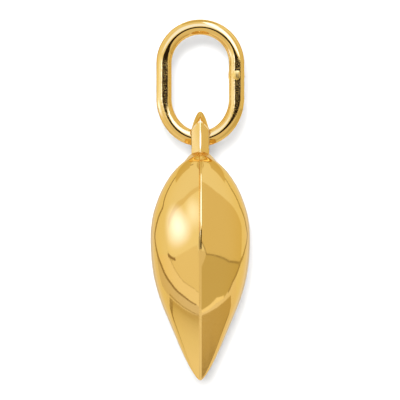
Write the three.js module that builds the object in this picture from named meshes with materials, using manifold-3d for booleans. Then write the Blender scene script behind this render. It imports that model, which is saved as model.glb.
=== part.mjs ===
// Puffed heart pendant: two stamped half shells soldered along a ridge seam, a hanging loop soldered
// into the cleft, and an oval wire bail that passes through the loop and hangs on a chain.
//
// Millimetres, +Z up. X runs across the two lobes, Y from the front of the heart (-Y) to its back.
// The origin is the chain seat: the middle of the bail's inner top, where a chain carries the pendant.

import * as THREE from "three";
import { mergeVertices } from "three/addons/utils/BufferGeometryUtils.js";
import Module from "manifold-3d";

const wasm = await Module();
wasm.setup();

// Driving dimensions of the bail, a ring of round wire in the YZ plane with a round top, straight
// sides and an elliptical bottom, closed by a solder joint in its +Y side
const bailWireDiameter = 1.15;
const bailInnerWidth = 4.3;
const bailSideLength = 2.62;
const bailBottomDepth = 3.03; // from the end of the straight sides to the middle of the wire
const bailJointDrop = 0.9; // from the upper end of the straight side to the middle of the joint
const bailJointLength = 0.5; // along the wire
const bailJointDiameter = 1.22;

// Driving dimensions of the hanging loop, a cast eye in the XZ plane that is ridged on its outside
const loopThickness = 1.36; // along Y, across the ridge
const loopTopDepth = 1.4; // from the hole to the ridge, above the hole
const loopSideDepth = 1.05; // the same beside and below the hole
const loopShoulderHeight = 0.645; // the corners of the ridge above the top of the hole
const loopShoulderInset = 0.4; // of each of these corners from the loop's widest place, at its foot
const loopHoleHeight = 2.62;
const loopHoleArch = 0.1; // how far the middle of the hole's top is above its corners
const loopSidePlay = 0.13; // between the bail's wire and each side of the hole
const loopTopPlay = 0.07; // between the bail's wire and the top of the hole
const loopCrown = 0.18; // how far the hole's surface rounds off towards the front and back
const loopSection = [
  // from the rounded hole to the ridge: the share of the depth, and the share of the thickness
  [0.5, 0.69],
  [0.82, 0.44],
  [0.95, 0.24],
];

// Driving dimensions of the heart
const heartWidth = 16.5;
const heartThickness = 7.45;
const lobeSpacing = 7.2; // between the tops of the two lobes
const lobeRise = 0.06; // the tops of the lobes above the middle of the loop's round foot
const lobeHeight = 6.26; // from the widest place up to the tops of the lobes
const pointHeight = 10.63; // from the widest place down to the point
const sideRadius = 7.6; // of the outline below the widest place
const pointInnerRadius = 0.12; // of the hollow, in the point
const pointGrowth = 14.6; // by how much the point's radius grows from the rim to the crown
const pointGrowthPower = 1.4; // 1 grows it evenly, and more keeps it small near the rim
const wall = 0.3; // of the stamped sheet
const cleftArc = 62; // degrees on each side by which the cleft follows the foot of the loop
const cleftEase = 0.5; // how softly the cleft's arc runs into the tops of the lobes

// The heart's section from the rim to the crown, at the lobes' tops and from the widest place down.
// The lean is the share of its slope that is straight, which makes the ridge at the seam, and the
// fullness is the power of the rounded share: 2 is an ellipse, and more makes it fuller.
const leanAtLobes = 0.12;
const leanAtSides = 0.2;
const fullnessAtLobes = 1.93;
const fullnessAtSides = 2.29;
const fullnessReach = 3.8; // how far up the sides' fullness lasts, as a power
const cleftFade = 0.95; // how far the cleft fades out towards the crown, 1 is wholly

// Driving dimensions of the solder
const seamWidth = 0.2; // along Y, between the two shells
const seamProud = 0.03; // of the shells' edge
const footSolderThickness = 0.26; // from the loop's ridge to the bottom of the cleft
const footSolderClimb = 0.25; // above the middle of the loop's round foot
const footSolderRun = 0.6; // over the heart, below the bottom of the cleft
const footSolderTopWidth = 1.58; // along Y, where it climbs the loop
const footSolderBottomWidth = 3.2; // along Y, where it runs out over the heart
const footSolderBottomLength = 7.68; // along X, there
const footSolderSetback = 0.15; // from the edge of the loop's hole
const solderGap = 0.04; // around the solder at the foot of the loop

// Counts of the mesh
const bailSteps = 72;
const bailSides = 14;
const loopSteps = { top: 6, side: 3, foot: 8 };
const outlineSteps = { cleft: 5, inner: 6, outer: 9, side: 8, flank: 4, point: 4 };
const domeSteps = 11;
const footSolderSides = 28;

// Places that follow from the dimensions, from the chain seat down
const bailWireRadius = bailWireDiameter / 2;
const bailHalfWidth = bailInnerWidth / 2 + bailWireRadius; // to the middle of the wire
const bailSideTop = bailWireRadius - bailHalfWidth;
const bailSideBottom = bailSideTop - bailSideLength;
const pivotHeight = bailSideBottom - bailBottomDepth;
const holeTop = pivotHeight + bailWireRadius + loopTopPlay;
const holeHalfWidth = bailWireRadius + loopSidePlay;
const loopHalfWidth = holeHalfWidth + loopSideDepth;
const loopFoot = holeTop - loopHoleHeight + holeHalfWidth; // the middle of the round foot
const lobeTop = loopFoot + lobeRise;
const crownHeight = lobeTop - lobeHeight; // the widest place of the outline
const pointTip = crownHeight - pointHeight;
const domeHeight = (heartThickness - seamWidth) / 2;

// The smaller of two radii, with a soft change from one to the other
const softMinimum = (a, b) => (a ** -5 + b ** -5) ** (-1 / 5);
const quarterArc = 0.5523; // handle of a cubic curve that draws a quarter of a circle of radius 1
const radians = THREE.MathUtils.degToRad;

const gold = { color: "#e2b35c", metalness: 1, roughness: 0.14 };
const solder = { color: "#dcb269", metalness: 1, roughness: 0.28 };

// Skins a list of rings of points into one closed body. A ring of one point is a pole, and an
// endless body joins its last ring to its first. The faces point out where each ring runs
// anticlockwise when it is looked at from the ring that follows it.
function skin(rings, endless = false) {
  const positions = rings.flat().flatMap((p) => [p.x, p.y, p.z]);
  const starts = rings.map((_, k) => rings.slice(0, k).flat().length);
  const indices = [];
  for (let k = 0; k < rings.length - (endless ? 0 : 1); k++) {
    const next = (k + 1) % rings.length;
    const count = Math.max(rings[k].length, rings[next].length);
    const corner = (ring, i) => starts[ring] + (i % rings[ring].length);
    for (let i = 0; i < count; i++) {
      const quad = [corner(k, i), corner(k, i + 1), corner(next, i + 1), corner(next, i)];
      if (quad[0] !== quad[1]) indices.push(quad[0], quad[1], quad[2]);
      if (quad[2] !== quad[3]) indices.push(quad[0], quad[2], quad[3]);
    }
  }
  const geometry = new THREE.BufferGeometry();
  geometry.setAttribute("position", new THREE.Float32BufferAttribute(positions, 3));
  geometry.setIndex(indices);
  return geometry;
}

// The right half of the heart's outline from the bottom of the cleft to the point, as seen from the
// back, moved inwards by inset. At a rise of 0 it is the rim's, and its point grows rounder up to a
// rise of 1. Each stretch leaves out its last point, which starts the next one.
function halfOutline(inset, rise = 0) {
  const cleftRadius = loopHalfWidth + footSolderThickness + inset;
  const top = new THREE.Vector2(lobeSpacing / 2, lobeTop - inset);
  const side = new THREE.Vector2(heartWidth / 2 - inset, crownHeight);
  const cleftPoint = (angle) =>
    new THREE.Vector2(cleftRadius * Math.cos(angle), loopFoot + cleftRadius * Math.sin(angle));
  const cleftEnd = radians(cleftArc - 90);
  const leave = cleftPoint(cleftEnd);
  const handle = cleftEase * leave.distanceTo(top);
  const inner = new THREE.CubicBezierCurve(
    leave,
    new THREE.Vector2(-Math.sin(cleftEnd), Math.cos(cleftEnd)).multiplyScalar(handle).add(leave),
    new THREE.Vector2(top.x - handle, top.y),
    top,
  );
  const outer = new THREE.CubicBezierCurve(
    top,
    new THREE.Vector2(top.x + quarterArc * (side.x - top.x), top.y),
    new THREE.Vector2(side.x, side.y + quarterArc * (top.y - side.y)),
    side,
  );

  // The straight flank is the tangent that the arc of the side shares with the arc of the point. It
  // stays in place while the point grows rounder, until the point's arc has taken all of it.
  const onArc = (middle, radius, angle) =>
    new THREE.Vector2(Math.cos(angle), Math.sin(angle)).multiplyScalar(radius).add(middle);
  const upperRadius = sideRadius - inset;
  const tipRadius = pointInnerRadius + wall - inset;
  const upperMiddle = new THREE.Vector2(side.x - upperRadius, side.y);
  const tipMiddle = new THREE.Vector2(0, pointTip + pointInnerRadius + wall);
  const between = new THREE.Vector2().subVectors(upperMiddle, tipMiddle);
  const turn = between.angle() - Math.acos((tipRadius - upperRadius) / between.length());
  const grownRadius = tipRadius + pointGrowth * rise ** pointGrowthPower;
  const widestRadius = upperRadius + upperMiddle.x / Math.cos(turn);
  const lowerRadius = softMinimum(grownRadius, widestRadius);
  const climb = (lowerRadius - tipRadius) / -Math.sin(turn);
  const lowerMiddle = new THREE.Vector2(0, tipMiddle.y + climb);
  const flank = new THREE.LineCurve(
    onArc(upperMiddle, upperRadius, turn),
    onArc(lowerMiddle, lowerRadius, turn),
  );

  const steps = outlineSteps;
  const sweep = (count, place) => Array.from({ length: count }, (_, i) => place(i / count));
  return [
    ...sweep(steps.cleft, (t) => cleftPoint(THREE.MathUtils.lerp(-Math.PI / 2, cleftEnd, t))),
    ...sweep(steps.inner, (t) => inner.getPoint(t)),
    ...sweep(steps.outer, (t) => outer.getPoint(t)),
    ...sweep(steps.side, (t) => onArc(upperMiddle, upperRadius, t * turn)),
    ...sweep(steps.flank, (t) => flank.getPoint(t)),
    ...sweep(steps.point, (t) => {
      return onArc(lowerMiddle, lowerRadius, THREE.MathUtils.lerp(turn, -Math.PI / 2, t));
    }),
    onArc(lowerMiddle, lowerRadius, -Math.PI / 2),
  ];
}

// Runs on from the point back up to the cleft, as the mirror image of the half
function wholeRing(half, heights) {
  const right = half.map((p, i) => new THREE.Vector3(p.x, heights[i], p.y));
  const left = right.slice(1, -1).reverse();
  return [...right, ...left.map((p) => new THREE.Vector3(-p.x, p.y, p.z))];
}

// The lean and the fullness of the section that starts at a height on the outline
function sectionAt(z) {
  const away = Math.max(0, z - crownHeight) / lobeHeight;
  const { lerp } = THREE.MathUtils;
  return {
    lean: lerp(leanAtSides, leanAtLobes, away ** 2),
    power: lerp(fullnessAtSides, fullnessAtLobes, away ** fullnessReach),
  };
}

// The rings of half a heart, from its rim at Y = start up to the crown. Each ring is the outline made
// smaller, with the cleft fading out and the point growing rounder.
function domeRings(inset, start, height) {
  const lobe = new THREE.Vector2(lobeSpacing / 2, lobeTop - inset);
  const rings = [];
  for (let k = 0; k < domeSteps; k++) {
    const angle = (k / domeSteps) * (Math.PI / 2);
    const heights = [];
    const level = halfOutline(inset, Math.sin(angle) ** (2 / fullnessAtSides)).map((p) => {
      const { lean, power } = sectionAt(p.y);
      const rise = Math.sin(angle) ** (2 / power);
      const size = 1 - lean * rise - (1 - lean) * (1 - Math.cos(angle) ** (2 / power));
      heights.push(start + height * rise);
      const inCleft = p.x < lobe.x && p.y > crownHeight;
      const z = inCleft ? THREE.MathUtils.lerp(p.y, lobe.y, cleftFade * (1 - size)) : p.y;
      return new THREE.Vector2(p.x * size, crownHeight + (z - crownHeight) * size);
    });
    rings.push(wholeRing(level, heights));
  }
  rings.push([new THREE.Vector3(0, start + height, crownHeight)]);
  return rings;
}

// The back shell: the hollow's dome from its crown to the rim, then the outer dome from the rim up
function shellGeometry() {
  const hollow = domeRings(wall, seamWidth / 2, domeHeight - wall);
  const outside = domeRings(0, seamWidth / 2, domeHeight);
  return skin([...hollow.reverse(), ...outside]);
}

// The solder of the seam: a band around the whole outline, as deep as the shells' wall
function seamGeometry() {
  const edge = seamWidth / 2;
  const ringAt = (inset, y) => {
    const half = halfOutline(inset);
    return wholeRing(half, half.map(() => y));
  };
  const corners = [
    ringAt(0, edge),
    ringAt(-seamProud, edge / 2),
    ringAt(-seamProud, -edge / 2),
    ringAt(0, -edge),
    ringAt(wall, -edge),
    ringAt(wall, edge),
  ];
  return skin(corners[0].map((_, i) => corners.map((ring) => ring[i])), true);
}

// The hanging loop, swept round its hole clockwise as seen from the front. Each station has a place
// on the hole and one on the ridge, and the section between them tapers to the ridge.
function loopGeometry(grow = 0) {
  const holeSide = holeHalfWidth - grow;
  const ridgeSide = loopHalfWidth + grow;
  const ridgeShoulder = ridgeSide - loopShoulderInset;
  const holeCorner = holeTop - loopHoleArch - grow;
  const stations = [];
  for (let i = 0; i < loopSteps.top; i++) {
    const t = i / loopSteps.top;
    const ridge = THREE.MathUtils.lerp(loopTopDepth, loopShoulderHeight, t * t);
    stations.push({
      hole: new THREE.Vector2(t * holeSide, holeCorner + loopHoleArch * (1 - t * t)),
      ridge: new THREE.Vector2(t * ridgeShoulder, holeTop + ridge + grow),
    });
  }
  for (let i = 0; i < loopSteps.side; i++) {
    const t = i / loopSteps.side;
    stations.push({
      hole: new THREE.Vector2(holeSide, THREE.MathUtils.lerp(holeCorner, loopFoot, t)),
      ridge: new THREE.Vector2(
        THREE.MathUtils.lerp(ridgeShoulder, ridgeSide, t),
        THREE.MathUtils.lerp(holeTop + loopShoulderHeight + grow, loopFoot, t),
      ),
    });
  }
  for (let i = 0; i <= loopSteps.foot; i++) {
    const angle = (-i / loopSteps.foot) * (Math.PI / 2);
    const across = new THREE.Vector2(Math.cos(angle), Math.sin(angle));
    const foot = new THREE.Vector2(0, loopFoot);
    stations.push({
      hole: across.clone().multiplyScalar(holeSide).add(foot),
      ridge: across.clone().multiplyScalar(ridgeSide).add(foot),
    });
  }
  const mirror = (p) => new THREE.Vector2(-p.x, p.y);
  const left = stations.slice(1, -1).reverse();
  left.forEach(({ hole, ridge }) => stations.push({ hole: mirror(hole), ridge: mirror(ridge) }));

  // Half of the section: the share of the way out from the hole, and the share of the thickness
  const crown = loopCrown / loopSideDepth;
  const taper = [[0, 0.5], [0.35 * crown, 0.83], [crown, 0.96], ...loopSection];
  const halfThickness = loopThickness / 2 + grow;
  const sections = stations.map(({ hole, ridge }) => {
    const at = ([out, wide], sideways) => {
      const p = hole.clone().lerp(ridge, out);
      return new THREE.Vector3(p.x, sideways * wide * halfThickness, p.y);
    };
    const back = taper.map((place) => at(place, 1));
    const front = taper.map((place) => at(place, -1)).reverse();
    return [...back, at([1, 0], 0), ...front];
  });
  return skin(sections, true);
}

// A closed solid of the heart, or of the loop with its hole filled, to cut other pieces with
function heartCutter(grow) {
  const back = domeRings(-grow, 0, heartThickness / 2 + grow);
  const mirrored = (ring) => ring.map((p) => new THREE.Vector3(p.x, -p.y, p.z));
  const front = back.slice(1).map(mirrored).reverse();
  return skin([...front, ...back]);
}

function holeCutter() {
  const side = holeHalfWidth + footSolderSetback;
  const outline = new THREE.Shape();
  outline.moveTo(side, holeTop);
  outline.lineTo(-side, holeTop);
  outline.lineTo(-side, loopFoot);
  outline.absarc(0, loopFoot, side, Math.PI, 2 * Math.PI);
  outline.closePath();
  const cutter = new THREE.ExtrudeGeometry(outline, {
    depth: 2 * loopThickness,
    bevelEnabled: false,
    curveSegments: 2 * loopSteps.foot,
  });
  cutter.rotateX(Math.PI / 2);
  cutter.translate(0, loopThickness, 0);
  return cutter;
}

function asManifold(geometry) {
  const bare = new THREE.BufferGeometry();
  bare.setAttribute("position", geometry.getAttribute("position"));
  if (geometry.getIndex()) bare.setIndex(geometry.getIndex());
  const merged = mergeVertices(bare);
  const mesh = new wasm.Mesh({
    numProp: 3,
    vertProperties: new Float32Array(merged.getAttribute("position").array),
    triVerts: new Uint32Array(merged.getIndex().array),
  });
  return new wasm.Manifold(mesh);
}

function asGeometry(manifold) {
  const mesh = manifold.getMesh();
  const geometry = new THREE.BufferGeometry();
  geometry.setAttribute("position", new THREE.BufferAttribute(mesh.vertProperties, 3));
  geometry.setIndex(new THREE.BufferAttribute(mesh.triVerts, 1));
  return geometry;
}

// The solder at the foot of the loop: a fillet that flares from the loop down over the heart. The
// loop, its hole and the heart are cut out of it.
function footSolderGeometry() {
  const top = footSolderTopWidth / 2;
  const bottom = footSolderBottomWidth / 2;
  const height = footSolderClimb + loopHalfWidth + footSolderThickness + footSolderRun;
  const flare = new THREE.CylinderGeometry(top, bottom, height, footSolderSides);
  flare.rotateX(Math.PI / 2);
  flare.scale(footSolderBottomLength / footSolderBottomWidth, 1, 1);
  flare.translate(0, 0, loopFoot + footSolderClimb - height / 2);
  const cutters = [heartCutter(solderGap + seamProud), loopGeometry(solderGap), holeCutter()];
  const rest = cutters.reduce((solid, cutter) => solid.subtract(asManifold(cutter)), asManifold(flare));
  return asGeometry(rest);
}

// A curve in the YZ plane, drawn as a flat path
class UprightCurve extends THREE.Curve {
  constructor(path) {
    super();
    this.path = path;
  }

  getPoint(t, target = new THREE.Vector3()) {
    const p = this.path.getPointAt(t);
    return target.set(0, p.x, p.y);
  }
}

// The bail's wire runs from the top of the solder joint over the bail and up to the joint again
function bailGeometry() {
  const jointMiddle = bailSideTop - bailJointDrop;
  const path = new THREE.Path();
  path.moveTo(bailHalfWidth, jointMiddle + bailJointLength / 2);
  path.lineTo(bailHalfWidth, bailSideTop);
  path.absarc(0, bailSideTop, bailHalfWidth, 0, Math.PI);
  path.lineTo(-bailHalfWidth, bailSideBottom);
  path.absellipse(0, bailSideBottom, bailHalfWidth, bailBottomDepth, Math.PI, 2 * Math.PI);
  path.lineTo(bailHalfWidth, jointMiddle - bailJointLength / 2);
  const wire = new THREE.Shape().absarc(0, 0, bailWireRadius, 0, 2 * Math.PI);
  return new THREE.ExtrudeGeometry(wire, {
    steps: bailSteps,
    curveSegments: bailSides / 2,
    extrudePath: new UprightCurve(path),
  });
}

// The solder that closes the bail is filed to a slightly barrelled band
function bailJointGeometry() {
  const end = bailWireRadius;
  const belly = bailJointDiameter / 2;
  const half = bailJointLength / 2;
  const profile = [
    [0, -half],
    [end, -half],
    [belly, -half / 2],
    [belly, half / 2],
    [end, half],
    [0, half],
  ].map(([radius, up]) => new THREE.Vector2(radius, up));
  return new THREE.LatheGeometry(profile, bailSides).rotateX(Math.PI / 2);
}

function piece(name, geometry, finish) {
  geometry.computeVertexNormals();
  const mesh = new THREE.Mesh(geometry, new THREE.MeshStandardMaterial(finish));
  mesh.name = name;
  return mesh;
}

const backShell = piece("back_shell", shellGeometry(), gold);
const frontShell = piece("front_shell", shellGeometry(), gold);
frontShell.rotation.z = Math.PI;
const bailJoint = piece("bail_joint_solder", bailJointGeometry(), solder);
bailJoint.position.set(0, bailHalfWidth, bailSideTop - bailJointDrop);

// What swings on the bail's wire
const heart = new THREE.Group();
heart.add(
  frontShell,
  backShell,
  piece("seam_solder", seamGeometry(), solder),
  piece("hanging_loop", loopGeometry(), gold),
  piece("foot_solder", footSolderGeometry(), solder),
);

const pendant = new THREE.Group();
pendant.add(piece("bail", bailGeometry(), gold), bailJoint, heart);

export default pendant;
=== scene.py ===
# %% [markdown]
# # A puffed heart pendant in gold
#
# This lesson builds a hollow gold heart that hangs from an oval wire ring. The heart is two pieces of
# thin sheet, stamped in a die and soldered edge to edge, so it is plump and has a fine ridge all round.
# A cast eye stands in the cleft, and the ring of round wire passes through the eye.
#
# The solid model comes from CAD and gives every size. Here each piece is made again with a finer
# surface, because a polished metal shows every flat and every bump in what it mirrors.

# %% Load the solid model
import math

import bmesh
import bpy
import numpy as np
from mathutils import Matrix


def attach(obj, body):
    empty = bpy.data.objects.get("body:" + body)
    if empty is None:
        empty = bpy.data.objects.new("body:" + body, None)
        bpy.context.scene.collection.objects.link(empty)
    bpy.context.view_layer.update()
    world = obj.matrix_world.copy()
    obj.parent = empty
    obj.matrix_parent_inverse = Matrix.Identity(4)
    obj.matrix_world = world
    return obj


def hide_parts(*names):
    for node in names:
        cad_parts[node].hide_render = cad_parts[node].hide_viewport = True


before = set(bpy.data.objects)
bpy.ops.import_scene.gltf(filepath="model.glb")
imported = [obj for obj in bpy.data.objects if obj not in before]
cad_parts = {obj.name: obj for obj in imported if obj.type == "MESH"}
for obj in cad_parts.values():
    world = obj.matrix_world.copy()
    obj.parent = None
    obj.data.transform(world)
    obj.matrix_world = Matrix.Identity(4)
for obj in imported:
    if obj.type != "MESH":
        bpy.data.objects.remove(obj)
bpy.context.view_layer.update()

# %% [markdown]
# ## The sizes
#
# All shapes are worked out in millimetres, which are easy to read on a piece of jewellery, and each
# finished mesh is scaled to metres. The pendant hangs along Z, with the heart's width along X and its
# thickness along Y. The origin is where the chain touches the ring.

# %% Sizes of the pendant, in millimetres
MM = 0.001

WIRE = 1.15 / 2  # radius of the ring's wire
RING_HALF_WIDTH = 4.3 / 2 + WIRE  # to the middle of the wire
RING_TOP = WIRE - RING_HALF_WIDTH  # the upper ends of the straight sides
RING_BOTTOM = RING_TOP - 2.62  # the lower ends of the straight sides
RING_BOTTOM_DEPTH = 3.03  # of the middle of the wire below the straight sides
JOINT_MIDDLE = RING_TOP - 0.9  # of the solder that closes the ring
JOINT_REACH = 0.36  # half the solder's length along the wire

PIVOT = RING_BOTTOM - RING_BOTTOM_DEPTH  # the middle of the wire that carries the heart
HOLE_TOP = PIVOT + WIRE + 0.07
HOLE_SIDE = WIRE + 0.13
HOLE_HEIGHT = 2.62
HOLE_ARCH = 0.1  # how much lower the hole's top is at its corners
EYE_SIDE = HOLE_SIDE + 1.05  # out to the eye's ridge
EYE_FOOT = HOLE_TOP - HOLE_HEIGHT + HOLE_SIDE  # the middle of the eye's round foot
EYE_TOP_DEPTH = 1.4  # from the hole up to the ridge
EYE_SHOULDER = 0.645  # height of the ridge's shoulder above the top of the hole
EYE_SHOULDER_INSET = 0.4
EYE_THICKNESS = 1.36

HEART_WIDTH = 16.5
HEART_THICKNESS = 7.45
LOBE_X = 7.2 / 2  # the middle of a lobe
LOBE_TOP = EYE_FOOT + 0.06
WIDEST = LOBE_TOP - 6.26  # the height of the heart's widest place
POINT = WIDEST - 10.63
WALL = 0.3
SEAM = 0.2  # gap between the two shells, filled with solder
CLEFT_RADIUS = EYE_SIDE + 0.26
print(f"from the chain to the point: {-POINT:.2f} mm, pivot at {PIVOT:.2f} mm")

# %% [markdown]
# ## Camera
#
# The pendant is seen from its side, so the camera looks along -X at the edge of the heart, level with
# its middle. A long lens from far away keeps the two ends of the pendant the same size, as in a
# catalogue picture. The width of the picture is 30 mm at the pendant.

# %% Camera
PICTURE_WIDTH = 30.0
CAMERA_DISTANCE = 360.0
AIM_Y = -0.02
AIM_Z = -12.4

camera_data = bpy.data.cameras.new("camera")
camera_data.sensor_width = 36
camera_data.lens = camera_data.sensor_width * CAMERA_DISTANCE / PICTURE_WIDTH
camera_data.clip_start = 0.01
camera = bpy.data.objects.new("camera", camera_data)
camera.location = (CAMERA_DISTANCE * MM, AIM_Y * MM, AIM_Z * MM)
camera.rotation_euler = (math.pi / 2, 0, math.pi / 2)
bpy.context.scene.collection.objects.link(camera)
bpy.context.scene.camera = camera
bpy.context.scene.view_settings.view_transform = "Standard"
print(f"lens {camera_data.lens:.0f} mm at {CAMERA_DISTANCE:.0f} mm")

# %% [markdown]
# ## Helpers for meshes
#
# Most pieces of the pendant are skins over a row of rings: the dome over shrinking outlines, the ring
# over circles along a path. One helper makes all of them, in quads, so that smooth shading has nothing
# to stumble over. A ring of one point closes the skin in a pole.

# %% Skins over rings of points
def skin(name, rings, endless=False):
    """Joins each ring to the next, and with endless also the last to the first."""
    starts = np.cumsum([0] + [len(ring) for ring in rings])
    faces = []
    for k in range(len(rings) - (0 if endless else 1)):
        n = (k + 1) % len(rings)
        here, there = len(rings[k]), len(rings[n])
        for i in range(max(here, there)):
            corners = [
                starts[k] + i % here,
                starts[k] + (i + 1) % here,
                starts[n] + (i + 1) % there,
                starts[n] + i % there,
            ]
            faces.append(list(dict.fromkeys(int(c) for c in corners)))
    mesh = bpy.data.meshes.new(name)
    mesh.from_pydata([tuple(p) for ring in rings for p in ring], [], faces)
    mesh.update()
    thing = bpy.data.objects.new(name, mesh)
    bpy.context.scene.collection.objects.link(thing)
    return thing


def clean_mesh(thing, scale=1):
    """Joins doubled points, turns the faces out and scales the mesh."""
    bm = bmesh.new()
    bm.from_mesh(thing.data)
    bmesh.ops.remove_doubles(bm, verts=bm.verts, dist=1e-5)
    bmesh.ops.recalc_face_normals(bm, faces=bm.faces)
    bmesh.ops.scale(bm, vec=(scale, scale, scale), verts=bm.verts)
    bm.to_mesh(thing.data)
    bm.free()


def finish_mesh(thing, sharp_angle=40):
    """Cleans a mesh, brings it from millimetres to metres and shades it smooth up to an angle."""
    clean_mesh(thing, MM)
    thing.data.shade_smooth()
    thing.data.set_sharp_from_angle(angle=math.radians(sharp_angle))
    print(f"{thing.name}: {len(thing.data.polygons)} faces")


# %% [markdown]
# ## The finish of the gold
#
# Polished gold is a mirror with a colour, so its look is mostly what stands around it. What makes it
# real are three small things: the buffing wheel leaves a slight waviness, fine hairlines scatter a
# little of the light, and the colour shifts a touch where the polish is thinner. They are made with
# noise at three scales. Where a tool has marked the wire or the bead, a fine grain is added between two
# heights. The solder is a softer gold. The rounded edges of the eye's mitres get a paler gold, which is
# a painted highlight that draws them as a bright line.

# %% A small helper for shader nodes
def add_node(tree, kind, settings=None, **inputs):
    """Adds a node. Its inputs go by name, or by number as i0, i1 and so on."""
    made = tree.nodes.new(kind)
    for key, value in (settings or {}).items():
        setattr(made, key, value)
    for key, value in inputs.items():
        numbered = key[0] == "i" and key[1:].isdigit()
        socket = made.inputs[int(key[1:]) if numbered else key.replace("_", " ")]
        if isinstance(value, bpy.types.NodeSocket):
            tree.links.new(value, socket)
        else:
            socket.default_value = value
    return made


# %% Polished gold
GOLD = (0.855, 0.578, 0.181, 1)
GOLD_DEEP = (0.835, 0.553, 0.163, 1)
GRAZING_GOLD = (0.9, 0.75, 0.46, 1)  # at a grazing angle
BLOTCHES, HAZE, BUFFING, GRAIN = 420, 2600, 650, 13000  # waves in a metre
GRAIN_FADE = 0.4  # the grain fades over this, to each side of where it starts and where it ends


def gold_finish(
    name, colour=GOLD, deep=GOLD_DEEP, roughness=0.07, wave=0.0004, grain=0.0, grain_between=None,
):
    """Gold with waves and a grain, whose depths and heights are in millimetres."""
    material = bpy.data.materials.new(name)
    material.use_nodes = True
    tree = material.node_tree
    shader = tree.nodes["Principled BSDF"]
    shader.inputs["Metallic"].default_value = 1
    shader.inputs["Specular Tint"].default_value = GRAZING_GOLD
    place = add_node(tree, "ShaderNodeTexCoord").outputs["Object"]

    blotch = add_node(tree, "ShaderNodeTexNoise", Vector=place, Scale=BLOTCHES, Detail=3)
    tint = add_node(
        tree, "ShaderNodeMix", {"data_type": "RGBA"},
        i0=blotch.outputs["Fac"], i6=colour, i7=deep,
    )
    tree.links.new(tint.outputs[2], shader.inputs["Base Color"])

    haze = add_node(tree, "ShaderNodeTexNoise", Vector=place, Scale=HAZE, Detail=4)
    rough = add_node(
        tree, "ShaderNodeMapRange", Value=haze.outputs["Fac"], From_Min=0.3, From_Max=0.7,
        To_Min=roughness * 0.75, To_Max=roughness * 1.3,
    )
    tree.links.new(rough.outputs["Result"], shader.inputs["Roughness"])

    buffing = add_node(tree, "ShaderNodeTexNoise", Vector=place, Scale=BUFFING, Detail=2)
    bumps = add_node(
        tree, "ShaderNodeBump", Height=buffing.outputs["Fac"], Strength=1, Distance=wave * MM,
    )
    if grain:
        noise = add_node(tree, "ShaderNodeTexNoise", Vector=place, Scale=GRAIN, Detail=1)
        speckle = add_node(
            tree, "ShaderNodeMapRange", Value=noise.outputs["Fac"], From_Min=0.5, From_Max=0.66,
        )
        bumps = add_node(
            tree, "ShaderNodeBump", Height=speckle.outputs["Result"], Strength=1,
            Distance=grain * MM, Normal=bumps.outputs["Normal"],
        )
        if grain_between:
            height = add_node(tree, "ShaderNodeSeparateXYZ", Vector=place).outputs["Z"]
            low, high = grain_between
            above, below = (
                add_node(
                    tree, "ShaderNodeMapRange", Value=height,
                    From_Min=(z - fade) * MM, From_Max=(z + fade) * MM,
                )
                for z, fade in ((low, GRAIN_FADE), (high, -GRAIN_FADE))
            )
            both = add_node(
                tree, "ShaderNodeMath", {"operation": "MULTIPLY"},
                i0=above.outputs["Result"], i1=below.outputs["Result"],
            )
            tree.links.new(both.outputs[0], bumps.inputs["Strength"])
    tree.links.new(bumps.outputs["Normal"], shader.inputs["Normal"])
    return material


sheet_gold = gold_finish("polished_sheet_gold")
wire_gold = gold_finish("drawn_wire_gold", roughness=0.07, grain=0.0018, grain_between=(-6.4, -1.9))
cast_gold = gold_finish("cast_gold", roughness=0.09, grain=0.001)
# A paler, rougher gold for the rounded mitre edges of the eye: a painted highlight that draws them as a
# bright line
painted_highlight_gold = gold_finish(
    "painted_highlight_edge_gold", colour=(1, 0.88, 0.57, 1), deep=(0.98, 0.85, 0.52, 1), roughness=0.35,
)
bead_gold = gold_finish("bead_gold", roughness=0.09, grain=0.009, grain_between=(-23.3, -18.6))
solder_gold = gold_finish(
    "gold_solder", colour=(0.93, 0.64, 0.17, 1), deep=(0.88, 0.57, 0.13, 1), roughness=0.3, grain=0.001,
)
fillet_gold = gold_finish(
    "fillet_gold", colour=(0.87, 0.64, 0.27, 1), deep=(0.85, 0.6, 0.22, 1), roughness=0.22, wave=0.004,
    grain=0.0012,
)
finishes = (sheet_gold, wire_gold, cast_gold, painted_highlight_gold, bead_gold, solder_gold, fillet_gold)
print("finishes:", [material.name for material in finishes])

# %% [markdown]
# ## The outline of the heart
#
# Seen from the front, half of the heart runs from the bottom of the cleft round the lobe and down to
# the point. It is drawn as the die maker would: an arc that follows the foot of the eye, two soft
# curves over the lobe, an arc for the side, a straight flank, and a small arc at the point. Every part
# can be moved inwards, which gives the hollow its own outline. The arc at the point can also grow, as
# it does from the rim of the dome towards its crown.

# %% Half of the outline
SIDE_RADIUS = 7.6
POINT_RADIUS = 0.12 + WALL
POINT_GROWTH, POINT_GROWTH_POWER = 14.6, 1.4  # of the arc at the point, from rim to crown
CLEFT_ARC = math.radians(62)
CLEFT_HANDLE = 0.5  # of the curve that leaves the cleft, as a part of its span
QUARTER_HANDLE = 0.5523  # makes a quarter of a circle of a soft curve
STEPS = {"cleft": 14, "inner": 22, "outer": 46, "side": 44, "flank": 30, "point": 26}


def arc(middle, radius, start, end, count):
    angle = np.linspace(start, end, count, endpoint=False)
    return np.array(middle) + radius * np.stack([np.cos(angle), np.sin(angle)], axis=1)


def soft_curve(points, count):
    t = np.linspace(0, 1, count, endpoint=False)[:, None]
    a, b, c, d = (np.array(p) for p in points)
    return (1 - t) ** 3 * a + 3 * (1 - t) ** 2 * t * b + 3 * (1 - t) * t**2 * c + t**3 * d


def soft_minimum(a, b):
    """The smaller of two numbers, with a soft change from one to the other."""
    return (a**-5 + b**-5) ** (-1 / 5)


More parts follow.
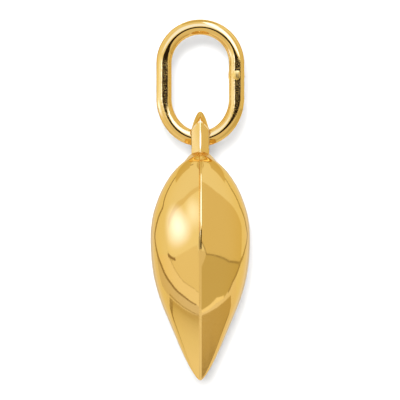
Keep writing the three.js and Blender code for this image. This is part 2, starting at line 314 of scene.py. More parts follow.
def half_outline(inset, rise=0):
    """Right half of the heart's outline, moved inwards, at a rise from 0 at the rim to 1."""
    cleft_radius = CLEFT_RADIUS + inset
    end = CLEFT_ARC - math.pi / 2
    leave = np.array([cleft_radius * math.cos(end), EYE_FOOT + cleft_radius * math.sin(end)])
    top = np.array([LOBE_X, LOBE_TOP - inset])
    side = np.array([HEART_WIDTH / 2 - inset, WIDEST])
    handle = CLEFT_HANDLE * np.linalg.norm(top - leave)
    away = np.array([-math.sin(end), math.cos(end)])
    across, down = (side - top) * QUARTER_HANDLE
    upper, tip = SIDE_RADIUS - inset, POINT_RADIUS - inset
    upper_middle = side - (upper, 0)
    tip_middle = np.array([0, POINT + POINT_RADIUS])
    between = upper_middle - tip_middle
    turn = math.atan2(between[1], between[0]) - math.acos((tip - upper) / np.linalg.norm(between))
    outward = np.array([math.cos(turn), math.sin(turn)])
    grown = tip + POINT_GROWTH * rise**POINT_GROWTH_POWER
    lower = soft_minimum(grown, upper + upper_middle[0] / outward[0])
    lower_middle = tip_middle - (0, (lower - tip) / outward[1])
    t = np.linspace(0, 1, STEPS["flank"], endpoint=False)[:, None]
    return np.concatenate([
        arc((0, EYE_FOOT), cleft_radius, -math.pi / 2, end, STEPS["cleft"]),
        soft_curve([leave, leave + handle * away, top - (handle, 0), top], STEPS["inner"]),
        soft_curve([top, top + (across, 0), side - (0, down), side], STEPS["outer"]),
        arc(upper_middle, upper, 0, turn, STEPS["side"]),
        (1 - t) * (upper_middle + upper * outward) + t * (lower_middle + lower * outward),
        arc(lower_middle, lower, turn, -math.pi / 2, STEPS["point"]),
        [lower_middle - (0, lower)],
    ])


print(f"outline: {2 * len(half_outline(0)) - 2} points")

# %% [markdown]
# ## The dome of a shell
#
# A stamped shell starts at its rim as a straight slope, which makes the ridge along the seam, and
# rounds over to a soft crown. It could be inflated by a simulation, but a formula gives the same clean
# curves as the steel die: each ring is the outline made smaller, and the height rises over it like a
# rounded arch. Towards the crown the cleft fades out, and the arc at the point grows until the point
# is gone.

# %% Rings of a dome
DOME_HEIGHT = (HEART_THICKNESS - SEAM) / 2
CLEFT_FADE = 0.95  # how much of the cleft is gone at the crown
RING_SPACING = 1.6  # above 1, the rings stand closer together near the rim
SIDE_POWER, TOP_POWER = 2.29, 1.93  # roundness of the arch at the side and at the top of a lobe
SIDE_LEAN, TOP_LEAN = 0.2, 0.12  # how far its slope leans inwards there
print(f"each dome is {DOME_HEIGHT:.3f} mm high")


def blend(a, b, t):
    return a + (b - a) * t


def dome_rings(inset, start, height, count):
    """Rings from the rim, at thickness start, over a height to the pole of the crown."""
    rings = []
    for k in range(count):
        angle = (k / count) ** RING_SPACING * math.pi / 2
        x, z = half_outline(inset, math.sin(angle) ** (2 / SIDE_POWER)).T
        away = np.clip((z - WIDEST) / (LOBE_TOP - WIDEST), 0, 1)  # 1 at the top of a lobe
        lean = blend(SIDE_LEAN, TOP_LEAN, away**2)
        power = blend(SIDE_POWER, TOP_POWER, away**3.8)
        rise = math.sin(angle) ** (2 / power)
        size = 1 - lean * rise - (1 - lean) * (1 - math.cos(angle) ** (2 / power))
        in_cleft = (x < LOBE_X) & (z > WIDEST)
        level_z = np.where(in_cleft, blend(z, LOBE_TOP - inset, CLEFT_FADE * (1 - size)), z)
        right = np.stack([x * size, start + height * rise, WIDEST + (level_z - WIDEST) * size], axis=1)
        rings.append(np.concatenate([right, right[-2:0:-1] * (-1, 1, 1)]))
    rings.append(np.array([[0, start + height, WIDEST]]))
    return rings


# %% Two shells
def shell(name, side):
    outside = dome_rings(0, SEAM / 2, DOME_HEIGHT, 56)
    hollow = dome_rings(WALL, SEAM / 2, DOME_HEIGHT - WALL, 16)
    made = skin(name, [ring * (side, side, 1) for ring in hollow[::-1] + outside])
    finish_mesh(made)
    made.data.materials.append(sheet_gold)
    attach(made, "heart")
    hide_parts(name.removesuffix("_sheet"))


shell("back_shell_sheet", 1)
shell("front_shell_sheet", -1)

# %% [markdown]
# ## The seam
#
# Where the two rims meet, the solder stands as a thin rounded bead. It catches the light as one fine
# line, so it gets real roundness instead of a bump in the material. Below the heart's widest place it
# is filed down, and near the top of each lobe it has spread a little.

# %% Bead of solder along the seam
BEAD_PROUD = 0.05
BEAD_MIDDLE = 0.05  # the bead stands a little to the back, beside a fine groove
BEAD_SIDES = 10
BEAD_FILED = 0.3  # what the file leaves of the bead's height
BEAD_SPREAD = 0.6  # how much wider the bead is near the top of a lobe
GROOVE = 0.03  # depth of the groove beside the bead


def seam():
    edge = SEAM / 2
    half_turns = np.linspace(math.pi / 2, -math.pi / 2, BEAD_SIDES + 1)
    profile = [(WALL, edge), (0.0, edge)]
    profile += [(-BEAD_PROUD * math.cos(a), BEAD_MIDDLE + 0.95 * edge * math.sin(a)) for a in half_turns]
    profile += [(GROOVE, BEAD_MIDDLE - 1.05 * edge), (0.0, -edge), (WALL, -edge)]
    rim = half_outline(0)
    loops = []
    for inset, y in profile:
        half = half_outline(inset)
        # proud is 0 where the bead is filed down, on_lobe is 1 where it has spread
        proud = np.clip((half[:, 1] - WIDEST + 0.2) / 0.8, 0, 1) if inset < WALL else 1
        on_lobe = np.exp(-(((half[:, 1] - LOBE_TOP + 0.5) / 0.36) ** 2)) * (half[:, 0] > LOBE_X)
        spread = blend(np.clip(y, -edge, edge), y * (1 + BEAD_SPREAD * on_lobe), proud)
        half = rim + (half - rim) * np.reshape(blend(BEAD_FILED, 1, proud), (-1, 1))
        right = np.stack([half[:, 0], spread, half[:, 1]], axis=1)
        loops.append(np.concatenate([right, right[-2:0:-1] * (-1, 1, 1)]))
    made = skin("seam_bead", loops, endless=True)
    finish_mesh(made)
    made.data.materials.append(bead_gold)
    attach(made, "heart")
    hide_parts("seam_solder")


seam()

# %% [markdown]
# ## The eye
#
# The eye is cast: a frame with a V-shaped outside, mitred at its two shoulders, and rounded where the
# wire runs. A sweep round the hole gives the mitre for free, because each station joins a point on the
# hole to a point on the ridge. A small bevel then rounds the mitre's edges, and they get a paler gold,
# a painted highlight, so that they show as a bright line.

# %% Sweep of the eye
HOLE_EDGE = 0.18 / 1.05  # reach of the round edge at the hole, as a part of the way to the ridge
MITRE_EDGE = 0.07
MITRE_ANGLE = 24  # degrees; edges with a smaller turn between their faces aren't mitres


def eye_stations():
    """Places on the hole and on the ridge, and how flat the faces between them are."""
    stations = []
    shoulder = EYE_SIDE - EYE_SHOULDER_INSET
    for t in np.linspace(0, 1, 18, endpoint=False):
        ridge = blend(EYE_TOP_DEPTH, EYE_SHOULDER, t * t)
        stations.append((
            (t * HOLE_SIDE, HOLE_TOP - HOLE_ARCH * t * t),
            (t * shoulder, HOLE_TOP + ridge),
            t * t,
        ))
    for t in np.linspace(0, 1, 14, endpoint=False):
        stations.append((
            (HOLE_SIDE, blend(HOLE_TOP - HOLE_ARCH, EYE_FOOT, t)),
            (blend(shoulder, EYE_SIDE, t), blend(HOLE_TOP + EYE_SHOULDER, EYE_FOOT, t)),
            1,
        ))
    for angle in np.linspace(0, -math.pi / 2, 22):
        across = np.array([math.cos(angle), math.sin(angle)])
        stations.append((across * HOLE_SIDE + (0, EYE_FOOT), across * EYE_SIDE + (0, EYE_FOOT), 1))
    return [(np.array(a), np.array(b), flat) for a, b, flat in stations]


def eye_section(hole, ridge, flat):
    """A cut through the eye from the hole to the ridge: rounded at flat 0, with flat faces at 1."""
    half = []
    full = blend(math.sqrt(1 - HOLE_EDGE), 0.98, flat)  # width where the round edge ends
    for turn in np.linspace(0, math.pi / 2, 6):
        half.append((HOLE_EDGE * (1 - math.cos(turn)), 0.5 + (full - 0.5) * math.sin(turn)))
    for u in 1 - np.linspace(1, 0, 22)[1:-1] ** 1.6:
        soft = math.sqrt(1 - u)  # a round back
        keen = blend(1 - u, math.sqrt(1 - u * u), 0.26)  # a face that bulges a little
        half.append((blend(HOLE_EDGE, 1, u), full * blend(soft, keen, flat)))
    whole = half + [(1, 0)] + [(out, -wide) for out, wide in half[::-1]]
    section = []
    for out, wide in whole:
        place = blend(hole, ridge, out)
        section.append((place[0], wide * EYE_THICKNESS / 2, place[1]))
    return np.array(section)


def eye():
    right = [eye_section(*station) for station in eye_stations()]
    left = [ring * (-1, 1, 1) for ring in right[-2:0:-1]]
    made = skin("cast_eye", right + left, endless=True)
    bm = bmesh.new()
    bm.from_mesh(made.data)
    bmesh.ops.recalc_face_normals(bm, faces=bm.faces)
    mitres = [
        edge for edge in bm.edges
        if edge.is_manifold and edge.calc_face_angle() > math.radians(MITRE_ANGLE)
        and min(v.co.z for v in edge.verts) > EYE_FOOT + 0.5 and abs(edge.verts[0].co.x) > 0.3
    ]
    # The bevel's faces take the second material, the paler gold that paints a highlight along the mitres
    bmesh.ops.bevel(
        bm, geom=mitres, offset=MITRE_EDGE, segments=3, profile=0.5, affect="EDGES", material=1,
    )
    bm.to_mesh(made.data)
    bm.free()
    finish_mesh(made, 35)
    made.data.materials.append(cast_gold)
    made.data.materials.append(painted_highlight_gold)
    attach(made, "heart")
    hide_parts("hanging_loop")
    print(f"mitre edges rounded: {len(mitres)}")


eye()

# %% [markdown]
# ## The solder at the foot of the eye
#
# Where the eye meets the heart, the solder has flowed into a fillet: it clings to the eye, flares out,
# and runs out over the shoulders of the heart. A row of ovals gives the flare, and the hole of the eye
# is cut out of it, so that the hole stays open.

# %% Fillet at the foot of the eye
FILLET = [
    # height above the eye's foot, half its length along X, half its width along Y, squareness
    (0.36, 1.74, 0.670, 1.3),
    (0.26, 1.77, 0.690, 1.4),
    (0.18, 1.86, 0.725, 1.6),
    (0.11, 2.05, 0.765, 1.8),
    (0.06, 2.40, 0.800, 2.0),
    (0.02, 2.90, 0.830, 2.0),
    (-0.03, 3.45, 0.870, 2.0),
    (-0.18, 3.60, 1.000, 2.0),
    (-0.33, 3.55, 1.130, 2.0),
    (-0.48, 3.50, 1.255, 2.0),
    (-0.70, 3.45, 1.400, 2.0),
    (-1.00, 3.30, 1.520, 2.0),
    (-1.60, 3.00, 1.400, 2.0),
]


def oval(length, width, squareness, z, count=72):
    angle = np.linspace(0, 2 * math.pi, count, endpoint=False)
    c, s = np.cos(angle), np.sin(angle)
    x = np.sign(c) * np.abs(c) ** (2 / squareness) * length
    y = np.sign(s) * np.abs(s) ** (2 / squareness) * width
    return np.stack([x, y, np.full(count, z)], axis=1)


def smooth_rows(rows, count):
    """Draws a soft line through a few rows of numbers."""
    rows = np.array(rows)
    knots = np.arange(len(rows))
    at = np.linspace(0, len(rows) - 1, count)
    plain = np.stack([np.interp(at, knots, column) for column in rows.T], axis=1)
    for _ in range(6):
        plain[1:-1] = 0.25 * plain[:-2] + 0.5 * plain[1:-1] + 0.25 * plain[2:]
    return plain


def closed(name, rings):
    """A skin over rings that are joined to a pole at each end."""
    first, last = (ring.mean(axis=0)[None] for ring in (rings[0], rings[-1]))
    return skin(name, [first, *rings, last])


def hole_plug():
    """What fills the hole of the eye, long enough to go right through the fillet."""
    side, reach = HOLE_SIDE + 0.02, 3
    edge = [(side, HOLE_TOP), (-side, HOLE_TOP)]
    edge += [(side * math.cos(a), EYE_FOOT + side * math.sin(a))
             for a in np.linspace(math.pi, 2 * math.pi, 33)]
    return closed("hole_plug", [np.array([(x, y, z) for x, z in edge]) for y in (-reach, reach)])


def fillet():
    made = closed("foot_fillet", [
        oval(length, width, squareness, EYE_FOOT + up)
        for up, length, width, squareness in smooth_rows(FILLET, 49)
    ])
    plug = hole_plug()
    clean_mesh(made)
    clean_mesh(plug)
    cut = made.modifiers.new("hole", "BOOLEAN")
    cut.object = plug
    cut.solver = "EXACT"
    bpy.context.view_layer.update()
    evaluated = made.evaluated_get(bpy.context.evaluated_depsgraph_get())
    cut_mesh = bpy.data.meshes.new_from_object(evaluated)
    made.modifiers.clear()
    made.data = cut_mesh
    bpy.data.objects.remove(plug)
    finish_mesh(made, 50)
    made.data.materials.clear()
    made.data.materials.append(fillet_gold)
    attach(made, "heart")
    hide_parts("foot_solder")


fillet()

# %% [markdown]
# ## The ring
#
# The ring is a length of round wire bent to an oval. A curve with a bevel would do, but a skin of
# circles along the path leaves room for wear: the pliers have pressed the two straight legs, and their
# circles are a little squared.

# %% Path of the wire
def ring_path():
    def bow(middle, depth, start, count):
        angles = start + np.linspace(0, math.pi, count, endpoint=False)
        return np.stack([RING_HALF_WIDTH * np.cos(angles), middle + depth * np.sin(angles)], axis=1)

    down = np.linspace(RING_TOP, RING_BOTTOM, 30, endpoint=False)
    up = np.linspace(RING_BOTTOM, RING_TOP, 30, endpoint=False)
    return np.concatenate([
        bow(RING_TOP, RING_HALF_WIDTH, 0, 90),
        np.stack([np.full(30, -RING_HALF_WIDTH), down], axis=1),
        bow(RING_BOTTOM, RING_BOTTOM_DEPTH, math.pi, 100),
        np.stack([np.full(30, RING_HALF_WIDTH), up], axis=1),
    ])


# %% The wire
WIRE_SIDES = 64
LEG_MIDDLE = (RING_TOP + RING_BOTTOM) / 2
LEG_WEAR = 0.5  # 0 leaves the wire round
LEG_WEAR_REACH = 1.9  # up and down from the middle of a leg


def wire_rings(path, radius):
    ahead = np.roll(path, -1, axis=0) - np.roll(path, 1, axis=0)
    ahead /= np.linalg.norm(ahead, axis=1, keepdims=True)
    outward = np.stack([ahead[:, 1], -ahead[:, 0]], axis=1)
    angle = np.linspace(0, 2 * math.pi, WIRE_SIDES, endpoint=False)
    rings = []
    for place, out in zip(path, outward):
        worn = 2 + LEG_WEAR * np.exp(-(((place[1] - LEG_MIDDLE) / LEG_WEAR_REACH) ** 4))
        front, across = (
            np.sign(v) * np.abs(v) ** (2 / worn) * radius for v in (np.sin(angle), np.cos(angle))
        )
        rings.append(np.stack([front, place[0] + across * out[0], place[1] + across * out[1]], axis=1))
    return rings


def ring():
    made = skin("wire_ring", wire_rings(ring_path(), WIRE), endless=True)
    finish_mesh(made)
    made.data.materials.append(wire_gold)
    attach(made, "bail")
    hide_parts("bail")


ring()

# %% [markdown]
# The ends of the wire are closed with a drop of solder, filed until it is nearly flush. Its skin stands
# a few hundredths of a millimetre proud, is a little lumpy, and is highest where the camera sees it.

# %% Solder that closes the ring
JOINT_SUNK = 0.012  # how deep its ends lie in the wire
JOINT_HEIGHT = 0.036  # of its middle above its ends
JOINT_PATCH = 0.035


def joint():
    rings = []
    angle = np.linspace(0, 2 * math.pi, 60, endpoint=False)
    for t in np.linspace(-1, 1, 25):
        lumps = 0.012 * np.cos(2 * angle + 0.8) + 0.010 * np.cos(3 * angle - 2 * t)
        lumps -= 0.02 * np.cos(angle)
        # the patch is on the side towards the camera
        patch = JOINT_PATCH * np.exp(-(((angle - 1.5 * math.pi) / 0.5) ** 2))
        height = JOINT_HEIGHT + lumps + patch
        radius = WIRE - JOINT_SUNK + height * math.cos(t * math.pi / 2) ** 0.5
        rings.append(np.stack([
            radius * np.cos(angle + math.pi / 2),
            RING_HALF_WIDTH + radius * np.sin(angle + math.pi / 2),
            JOINT_MIDDLE + t * JOINT_REACH + 0.03 * np.cos(angle),
        ], axis=1))
    made = closed("ring_joint", rings)
    finish_mesh(made)
    made.data.materials.append(solder_gold)
    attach(made, "bail")
    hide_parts("bail_joint_solder")


joint()

# %% [markdown]
# ## A tent of light
#
# Gold shows its surroundings, so the surroundings are built with care: a tent of paper panels stands
# round the pendant, each a patch of a sphere given by its bearing and its height as seen from the
# pendant. The bearing is 0 towards the camera and grows towards +Y. Most panels are about 300 mm away;
# the two bulbs and three small sheets are close by. The camera itself doesn't see any of them.

# %% Panels
TENT_MIDDLE = np.array([0, 0, -16.0])


def facing(bearing, height):
    """The direction with this bearing and height in degrees."""
    b, h = np.radians(bearing), np.radians(height)
    return np.stack([np.cos(b) * np.cos(h), np.sin(b) * np.cos(h), np.sin(h) + 0 * b], axis=-1)


def glow(name, tint, strength=1.0):
    """An even glow, whose tint may be brighter than 1."""
    material = bpy.data.materials.new(name)
    material.use_nodes = True
    tree = material.node_tree
    tree.nodes.clear()
    light = add_node(tree, "ShaderNodeEmission", Color=(*tint, 1), Strength=strength)
    add_node(tree, "ShaderNodeOutputMaterial", Surface=light.outputs["Emission"])
    return material


def bulb_glow(name, colour, strength):
    """Light that is strongest in the middle and fades out, so that what is behind it shows."""
    material = bpy.data.materials.new(name)
    material.use_nodes = True
    tree = material.node_tree
    tree.nodes.clear()
    place = add_node(tree, "ShaderNodeTexCoord").outputs["Object"]
    reach = add_node(tree, "ShaderNodeVectorMath", {"operation": "LENGTH"}, i0=place)
    level = add_node(
        tree, "ShaderNodeMapRange", {"interpolation_type": "SMOOTHSTEP"},
        Value=reach.outputs["Value"], From_Min=0, From_Max=1, To_Min=strength, To_Max=0,
    )
    light = add_node(tree, "ShaderNodeEmission", Color=(*colour, 1), Strength=level.outputs["Result"])
    clear = add_node(tree, "ShaderNodeBsdfTransparent")
    both = add_node(tree, "ShaderNodeAddShader", i0=light.outputs[0], i1=clear.outputs[0])
    add_node(tree, "ShaderNodeOutputMaterial", Surface=both.outputs[0])
    return material


def paper(name, rows, material, unit=MM):
    """A sheet over rows of points, which only mirrors in the gold."""
    count = len(rows[0])
    faces = [(r * count + c, r * count + c + 1, (r + 1) * count + c + 1, (r + 1) * count + c)
             for r in range(len(rows) - 1) for c in range(count - 1)]
    mesh = bpy.data.meshes.new(name)
    mesh.from_pydata([tuple(p * unit) for row in rows for p in row], [], faces)
    made = bpy.data.objects.new(name, mesh)
    bpy.context.scene.collection.objects.link(made)
    mesh.materials.append(material)
    made.visible_camera = False
    made.visible_diffuse = False
    made.visible_shadow = False
    print(f"sheet {name}: {len(faces)} faces")
    return made


def panel(name, front, back, distance, tint, strength=1.0):
    """A panel between two edges, each a row of bearings and heights."""
    def fine(edge):
        knots, t = np.linspace(0, 1, len(edge)), np.linspace(0, 1, 61)
        return np.array([np.interp(t, knots, values) for values in np.array(edge, dtype=float).T])

    rows = [
        TENT_MIDDLE + distance * facing(*blend(fine(front), fine(back), t))
        for t in np.linspace(0, 1, 21)
    ]
    paper(name, rows, glow(name, tint, strength))


def bulb(name, bearing, height, distance, spread, colour, strength):
    """An oval soft light near the pendant, with its spread in degrees across and up."""
    turns = np.linspace(0, 2 * math.pi, 49)
    circle = np.stack([np.cos(turns), np.sin(turns), 0 * turns], axis=1)
    disc = [r * circle for r in np.linspace(0, 1, 12)]
    made = paper(name, disc, bulb_glow(name, colour, strength), unit=1)
    wide, tall = (distance * math.tan(math.radians(a)) * MM for a in spread)
    made.location = (TENT_MIDDLE + distance * facing(bearing, height)) * MM
    made.rotation_euler = (math.radians(90 + height), 0, math.radians(bearing - 90))
    made.scale = (wide, tall, 1)


def shifted(edge, bearing, height=0.0):
    """An edge moved by some degrees."""
    return [(b + bearing, h + height) for b, h in edge]


# %% [markdown]
# The face of the heart on the left mirrors a soft box with its bulb shining through, and the face on
# the right mirrors a card. Between them is a dark gap, where a lens looks in: it draws the dark bands
# down the ring's wire, and the thin line down the seam.

# %% The soft box on the left
panel(
    "left_softbox",
    [(-120, -6), (-112, -8.5), (-105, -10), (-90, -10), (-72, -9), (-45, -4)],
    [(-120, 6), (-115, 12), (-105, 18), (-90, 26), (-72, 42), (-45, 62)],
    300, (1, 1, 0.98), 1.04,
)
bulb("softbox_bulb", -86, 8, 34, (38, 16), (0.35, 0.62, 2.2), 1.5)
bulb("softbox_glow", -50, 22, 34, (24, 18), (0.28, 0.5, 1.5), 0.8)
panel(
    "softbox_top",
    [(-118, 3), (-103, 13.5), (-88, 21), (-69, 36), (-45, 54)],
    [(-120, 6), (-105, 18), (-90, 26), (-72, 42), (-45, 62)],
    296, (0.9, 0.83, 0.68),
)
panel(
    "softbox_rim",
    [(-121, -7.4), (-112, -10), (-104, -12)],
    [(-121, -5.5), (-112, -8.5), (-104, -10.4)],
    295, (0.7, 0.52, 0.3), 0.5,
)

# %% The card on the right, and the line where it meets the table
CARD_EDGE = (0.7, 0.6, 0.4)

panel(
    "right_card",
    [(46, -1), (57, -13), (94, -11), (114, -10), (142, -6)],
    [(46, 66), (69, 54), (93, 31), (112, 18), (142, 2)],
    300, (0.84, 0.77, 0.59),
)
panel(
    "card_side",
    [(44.5, 8), (45, -1), (56, -13)],
    [(46, 8), (46.8, -1), (58, -13)],
    295, CARD_EDGE, 0.62,
)
panel(
    "card_foot",
    [(56, -14.2), (94, -12.2), (114, -11), (142, -6.5)],
    [(56, -13), (94, -11), (114, -10), (142, -5.8)],
    295, CARD_EDGE, 0.62,
)

# %% Lights over the pendant, bluish so that the gold turns them nearly white
panel("top_softbox", [(-45, 16), (12, 16)], [(-45, 52), (12, 52)], 320, (1.15, 1.45, 3.0))
panel("ridge_light", [(12, 12), (60, 12)], [(12, 80), (60, 80)], 320, (1.5, 1.9, 4.2), 1.3)

# %% Two small cards near the eye, which make its mitred top darker than its sides
EYE_MIDDLE = np.array([0.8, 0, -6.3])
EYE_CARD_DISTANCE = 20
EYE_CARD_BEARINGS = np.linspace(116, 170, 12)
EYE_CARD_HEIGHTS = (12, 21, 30, 40)

for side, name in ((-1, "eye_card_left"), (1, "eye_card_right")):
    rows = [
        EYE_MIDDLE + EYE_CARD_DISTANCE * facing(side * EYE_CARD_BEARINGS, height)
        for height in EYE_CARD_HEIGHTS
    ]
    paper(name, rows, glow(name, (0.8, 0.71, 0.5)))

# %% The gap in front, and the strip of light beside it
panel("lens_gap", [(-14, -11), (46, -11)], [(-14, 8), (46, 8)], 290, (0.5, 0.35, 0.2), 0.05)
panel("key_strip", [(-25, 0), (-19, 0)], [(-25, 7), (-19, 7)], 280, (1.2, 1.6, 4.0), 2)

# %% [markdown]
# The lower half of the heart mirrors the table in front of it, with a pale sheet on the left and a
# darker board on the right. Their edges follow the curve on which the dome turns from its crown to its
# slope, so each is a row of bearings and heights.

# %% The table below
FACET = [(-140, -18), (-135, -23), (-130, -29), (-123, -41), (-121, -45), (-118, -55), (-117, -64)]
FACET_RIGHT = [(-b, h) for b, h in FACET]
TABLE_LEFT = [(-149, -3), (-140, -7), (-126, -18), (-109, -35), (-95, -54), (-90, -64)]
TABLE_RIGHT = [(152, -2), (142, -6), (132, -15), (126, -27), (113, -38), (108, -55), (104, -64)]
SHEET_LEFT = [(-118, -7), (-109, -15), (-95, -28), (-75, -42), (-60, -60)]

panel("table_front", [(-60, -88), (60, -88)], [(-60, -11), (60, -11)], 312, (0.84, 0.79, 0.72))
panel("table_left", [(-180, -88), (-60, -88)], [(-180, -16), (-60, -11)], 311, (0.97, 0.94, 0.98))
panel("table_right", [(60, -88), (180, -88)], [(60, -12), (180, -12)], 311, (0.98, 0.95, 1.04))
panel(
    "left_dark", TABLE_LEFT,
    [(-150, -10), (-138, -20), (-130, -29), (-123, -41), (-121, -45), (-118, -64)],
    308, (0.83, 0.79, 0.86),
)
panel("left_pale", TABLE_LEFT, SHEET_LEFT, 307, (1.03, 0.99, 1.0))
panel(
    "left_sheet", SHEET_LEFT,
    [(-112, -9), (-95, -10), (-72, -9), (-50, -6), (-45, -60)],
    306, (0.95, 0.90, 0.80),
)
panel("left_sheet_edge", shifted(SHEET_LEFT, 0, -1.2), SHEET_LEFT, 304, (0.85, 0.75, 0.6), 0.8)
panel(
    "right_dark", TABLE_RIGHT,
    [(140, -6), (114, -10), (94, -11), (57, -13), (50, -30), (50, -50), (50, -70)],
    308, (0.68, 0.61, 0.41),
)
panel(
    "right_glint",
    [(126, -27), (116, -38), (112, -55), (110, -60)],
    [(124, -26), (110, -36), (104, -53), (103, -58)],
    304, (1.05, 1.02, 1.0), 1.05,
)

# %% [markdown]
# Towards the point each side of the heart is a flat facet. A flat mirror shows only a small patch of
# its surroundings, so each facet takes its tone from one sheet. The sheet on the left is close by and
# changes its tint towards its lower end, and so the tone changes a little along the facet.

# %% The near sheet on the left
NEAR = 14.0  # from the facet to its sheet
NEAR_FALL = np.array([-4.2, 0, -3.8])  # from the upper end of the facet to its lower end
NEAR_TOP = np.array([[3.8, -1.97, -20.35], [4.9, -0.17, -21.2]])  # the facet's upper edge
NEAR_COLUMNS = 15
TINT_REACH = 5  # from the first tint to the last
TINTS = [
    # place, colour
    (0.0, (0.66, 0.58, 0.42, 1)),
    (0.06, (0.75, 0.70, 0.565, 1)),
    (0.25, (0.86, 0.81, 0.73, 1)),
    (0.5, (0.935, 0.91, 0.86, 1)),
    (1.0, (1, 0.97, 0.96, 1)),
]


def falling_glow(name, direction, start):
    """A glow that changes its tint along a direction, from a start in millimetres."""
    material = glow(name, (1, 1, 1))
    tree = material.node_tree
    place = add_node(tree, "ShaderNodeTexCoord").outputs["Object"]
    down = add_node(
        tree, "ShaderNodeVectorMath", {"operation": "DOT_PRODUCT"}, i0=place, i1=tuple(direction / MM),
    )
    level = add_node(
        tree, "ShaderNodeMapRange", Value=down.outputs["Value"],
        From_Min=start, From_Max=start + TINT_REACH,
    )
    ramp = add_node(tree, "ShaderNodeValToRGB", Fac=level.outputs["Result"])
    stops = ramp.color_ramp.elements
    for at, _ in TINTS[1:-1]:
        stops.new(at)
    for stop, (_, tint) in zip(stops, TINTS):
        stop.color = tint
    tree.links.new(ramp.outputs["Color"], tree.nodes["Emission"].inputs["Color"])
    return material


def near_sheet(name):
    heights = np.linspace(-20.5, -62, NEAR_COLUMNS)
    bearings = np.interp(-heights, [-h for b, h in FACET], [b for b, h in FACET])
    top = blend(NEAR_TOP[0], NEAR_TOP[1], np.linspace(0, 1.1, NEAR_COLUMNS)[:, None])
    upper = top + NEAR * facing(bearings, heights)
    direction = NEAR_FALL / np.linalg.norm(NEAR_FALL)
    start = float(direction @ upper[NEAR_COLUMNS // 2])
    reach = np.linspace(0.42, 1.7, NEAR_COLUMNS)[:, None]  # its far edge draws the facet's dark edge
    rows = [upper + blend(-0.12, reach, t) * NEAR_FALL for t in np.linspace(0, 1, 6)]
    paper(name, rows, falling_glow(name, direction, start))


near_sheet("facet_left")

# %% The sheets that edge it, and those on the right
panel("facet_left_top", shifted(FACET, 2.4), shifted(FACET, 0.8), 299, (0.7, 0.6, 0.42), 0.75)
panel("facet_left_side", shifted(FACET, -6), shifted(FACET, -1), 299, (0.7, 0.58, 0.4), 0.6)
panel("facet_right", shifted(FACET_RIGHT, -0.8), shifted(FACET_RIGHT, 3), 300, (0.64, 0.55, 0.38))
panel("facet_right_side", shifted(FACET_RIGHT, 5), shifted(FACET_RIGHT, 3), 299, (0.6, 0.48, 0.3), 0.6)

# %% [markdown]
# Near its outline the gold mirrors what stands behind it: the far paper, and the thin dark edge of the
# sheet that the pendant lies in front of.

# %% The paper behind the pendant and its edge
ROUND_DISTANCE = 310
EDGE_LEFT = [
    (-138, 50), (-139, 37), (-143, 23), (-141, 11), (-138, 8), (-149, 2), (-154, 0), (-149, -2.5),
    (-140, -7), (-126, -18), (-109, -35), (-95, -54),
]
EDGE_RIGHT = [
    (150, 62), (148, 47), (141, 28), (139, 17), (146, 7), (156, 1.2), (160, 0), (152, -2), (142, -6),
    (132, -15), (130, -21),
]


def round_sheet(name, bearing, height, reach, tint):
    """A round sheet that reaches some degrees from its middle."""
    axis = facing(bearing, height)
    side = np.cross(axis, (0, 1, 0))
    side /= np.linalg.norm(side)
    turns = np.linspace(0, 2 * math.pi, 61)[:, None]
    circle = np.cos(turns) * side + np.sin(turns) * np.cross(axis, side)
    rows = [
        TENT_MIDDLE + ROUND_DISTANCE * (math.cos(a) * axis + math.sin(a) * circle)
        for a in np.radians(np.linspace(0.1, reach, 8))
    ]
    paper(name, rows, glow(name, tint))


round_sheet("far_paper", 180, 0, 16, (0.80, 0.74, 0.62))
round_sheet("ceiling", 180, 76, 24, (0.74, 0.66, 0.46))
panel("edge_left", shifted(EDGE_LEFT, -1.5), shifted(EDGE_LEFT, 1.5), 285, (0.75, 0.6, 0.4), 0.5)
panel("edge_right", shifted(EDGE_RIGHT, -1.3), shifted(EDGE_RIGHT, 1.3), 285, (0.8, 0.68, 0.45), 0.6)
unseen = [thing for thing in bpy.data.objects if thing.type == "MESH" and not thing.visible_camera]
print("sheets and lights round the pendant:", len(unseen))

# %% [markdown]
# ## World, backdrop and lamp
#
# The world is white where the camera and the mirrors see it, and much dimmer as a light, so that the
# lamp's shadow stays visible. A plain wall and floor catch that soft shadow. They are open from behind,
# so that they don't block another view. One round lamp beside the camera makes the shadow, which
# gives the thin wire its weight.

# %% World
WORLD_LIGHT = 0.28

world = bpy.data.worlds.new("world")
bpy.context.scene.world = world
world.use_nodes = True
tree = world.node_tree
tree.nodes.clear()
path = add_node(tree, "ShaderNodeLightPath")
seen = add_node(
    tree, "ShaderNodeMath", {"operation": "MAXIMUM"},
    i0=path.outputs["Is Camera Ray"], i1=path.outputs["Is Glossy Ray"],
)
seen = add_node(
    tree, "ShaderNodeMath", {"operation": "MAXIMUM"},
    i0=seen.outputs[0], i1=path.outputs["Is Transmission Ray"],
)
level = add_node(tree, "ShaderNodeMapRange", Value=seen.outputs[0], To_Min=WORLD_LIGHT, To_Max=1.0)
light = add_node(tree, "ShaderNodeBackground", Color=(1, 1, 1, 1), Strength=level.outputs["Result"])
add_node(tree, "ShaderNodeOutputWorld", Surface=light.outputs["Background"])
print("world: white to the camera and to mirrors")

# %% Backdrop and floor
PAPER_WHITE = (0.8, 0.8, 0.8, 1)
PAPER_LIFT = 0.05  # a little glow, which only the camera sees
SIDE_REACH, FRONT_REACH, WALL_TOP = 90, 120, 80


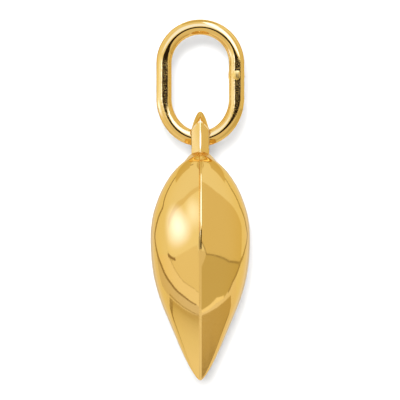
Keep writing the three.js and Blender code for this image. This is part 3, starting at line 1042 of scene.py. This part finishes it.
def backdrop(name, corners):
    """A pale sheet that is clear from behind and doesn't mirror in the gold."""
    mesh = bpy.data.meshes.new(name)
    mesh.from_pydata([tuple(np.array(c) * MM) for c in corners], [], [(0, 1, 2, 3)])
    made = bpy.data.objects.new(name, mesh)
    bpy.context.scene.collection.objects.link(made)
    material = bpy.data.materials.new(name)
    material.use_nodes = True
    tree = material.node_tree
    tree.nodes.clear()
    dull = add_node(tree, "ShaderNodeBsdfDiffuse", Color=PAPER_WHITE)
    path = add_node(tree, "ShaderNodeLightPath")
    lifted = add_node(
        tree, "ShaderNodeMath", {"operation": "MULTIPLY"},
        i0=path.outputs["Is Camera Ray"], i1=PAPER_LIFT,
    )
    glow_up = add_node(tree, "ShaderNodeEmission", Color=(1, 1, 1, 1), Strength=lifted.outputs[0])
    both = add_node(tree, "ShaderNodeAddShader", i0=dull.outputs[0], i1=glow_up.outputs[0])
    clear = add_node(tree, "ShaderNodeBsdfTransparent")
    geometry = add_node(tree, "ShaderNodeNewGeometry")
    mix = add_node(
        tree, "ShaderNodeMixShader",
        i0=geometry.outputs["Backfacing"], i1=both.outputs[0], i2=clear.outputs[0],
    )
    add_node(tree, "ShaderNodeOutputMaterial", Surface=mix.outputs[0])
    mesh.materials.append(material)
    made.visible_glossy = False


WALL_X, FLOOR_Z = -21, -28.7  # behind the heart, also where it has swung back
foot = [(WALL_X, y, FLOOR_Z) for y in (-SIDE_REACH, SIDE_REACH)]
backdrop("backdrop_wall", foot + [(WALL_X, y, WALL_TOP) for y in (SIDE_REACH, -SIDE_REACH)])
backdrop("floor", [foot[0]] + [(FRONT_REACH, y, FLOOR_Z) for y in (-SIDE_REACH, SIDE_REACH)] + [foot[1]])
print(f"backdrop {-WALL_X:.1f} mm behind the pendant, floor {POINT - FLOOR_Z:.1f} mm under its point")

# %% Key lamp
KEY_DISTANCE, KEY_BEARING, KEY_HEIGHT = 340, -0.7, 3.1

key_data = bpy.data.lights.new("key_lamp", "AREA")
key_data.shape = "DISK"
key_data.size = 0.034
key_data.energy = 1.9
key_lamp = bpy.data.objects.new("key_lamp", key_data)
key_lamp.location = tuple((TENT_MIDDLE + KEY_DISTANCE * facing(KEY_BEARING, KEY_HEIGHT)) * MM)
key_lamp.rotation_euler = (math.radians(90 - KEY_HEIGHT), 0, math.radians(90 + KEY_BEARING))
key_lamp.visible_camera = False
key_lamp.visible_glossy = False
bpy.context.scene.collection.objects.link(key_lamp)
print(f"key lamp: {key_data.size * 1000:.0f} mm across, {KEY_DISTANCE} mm away")
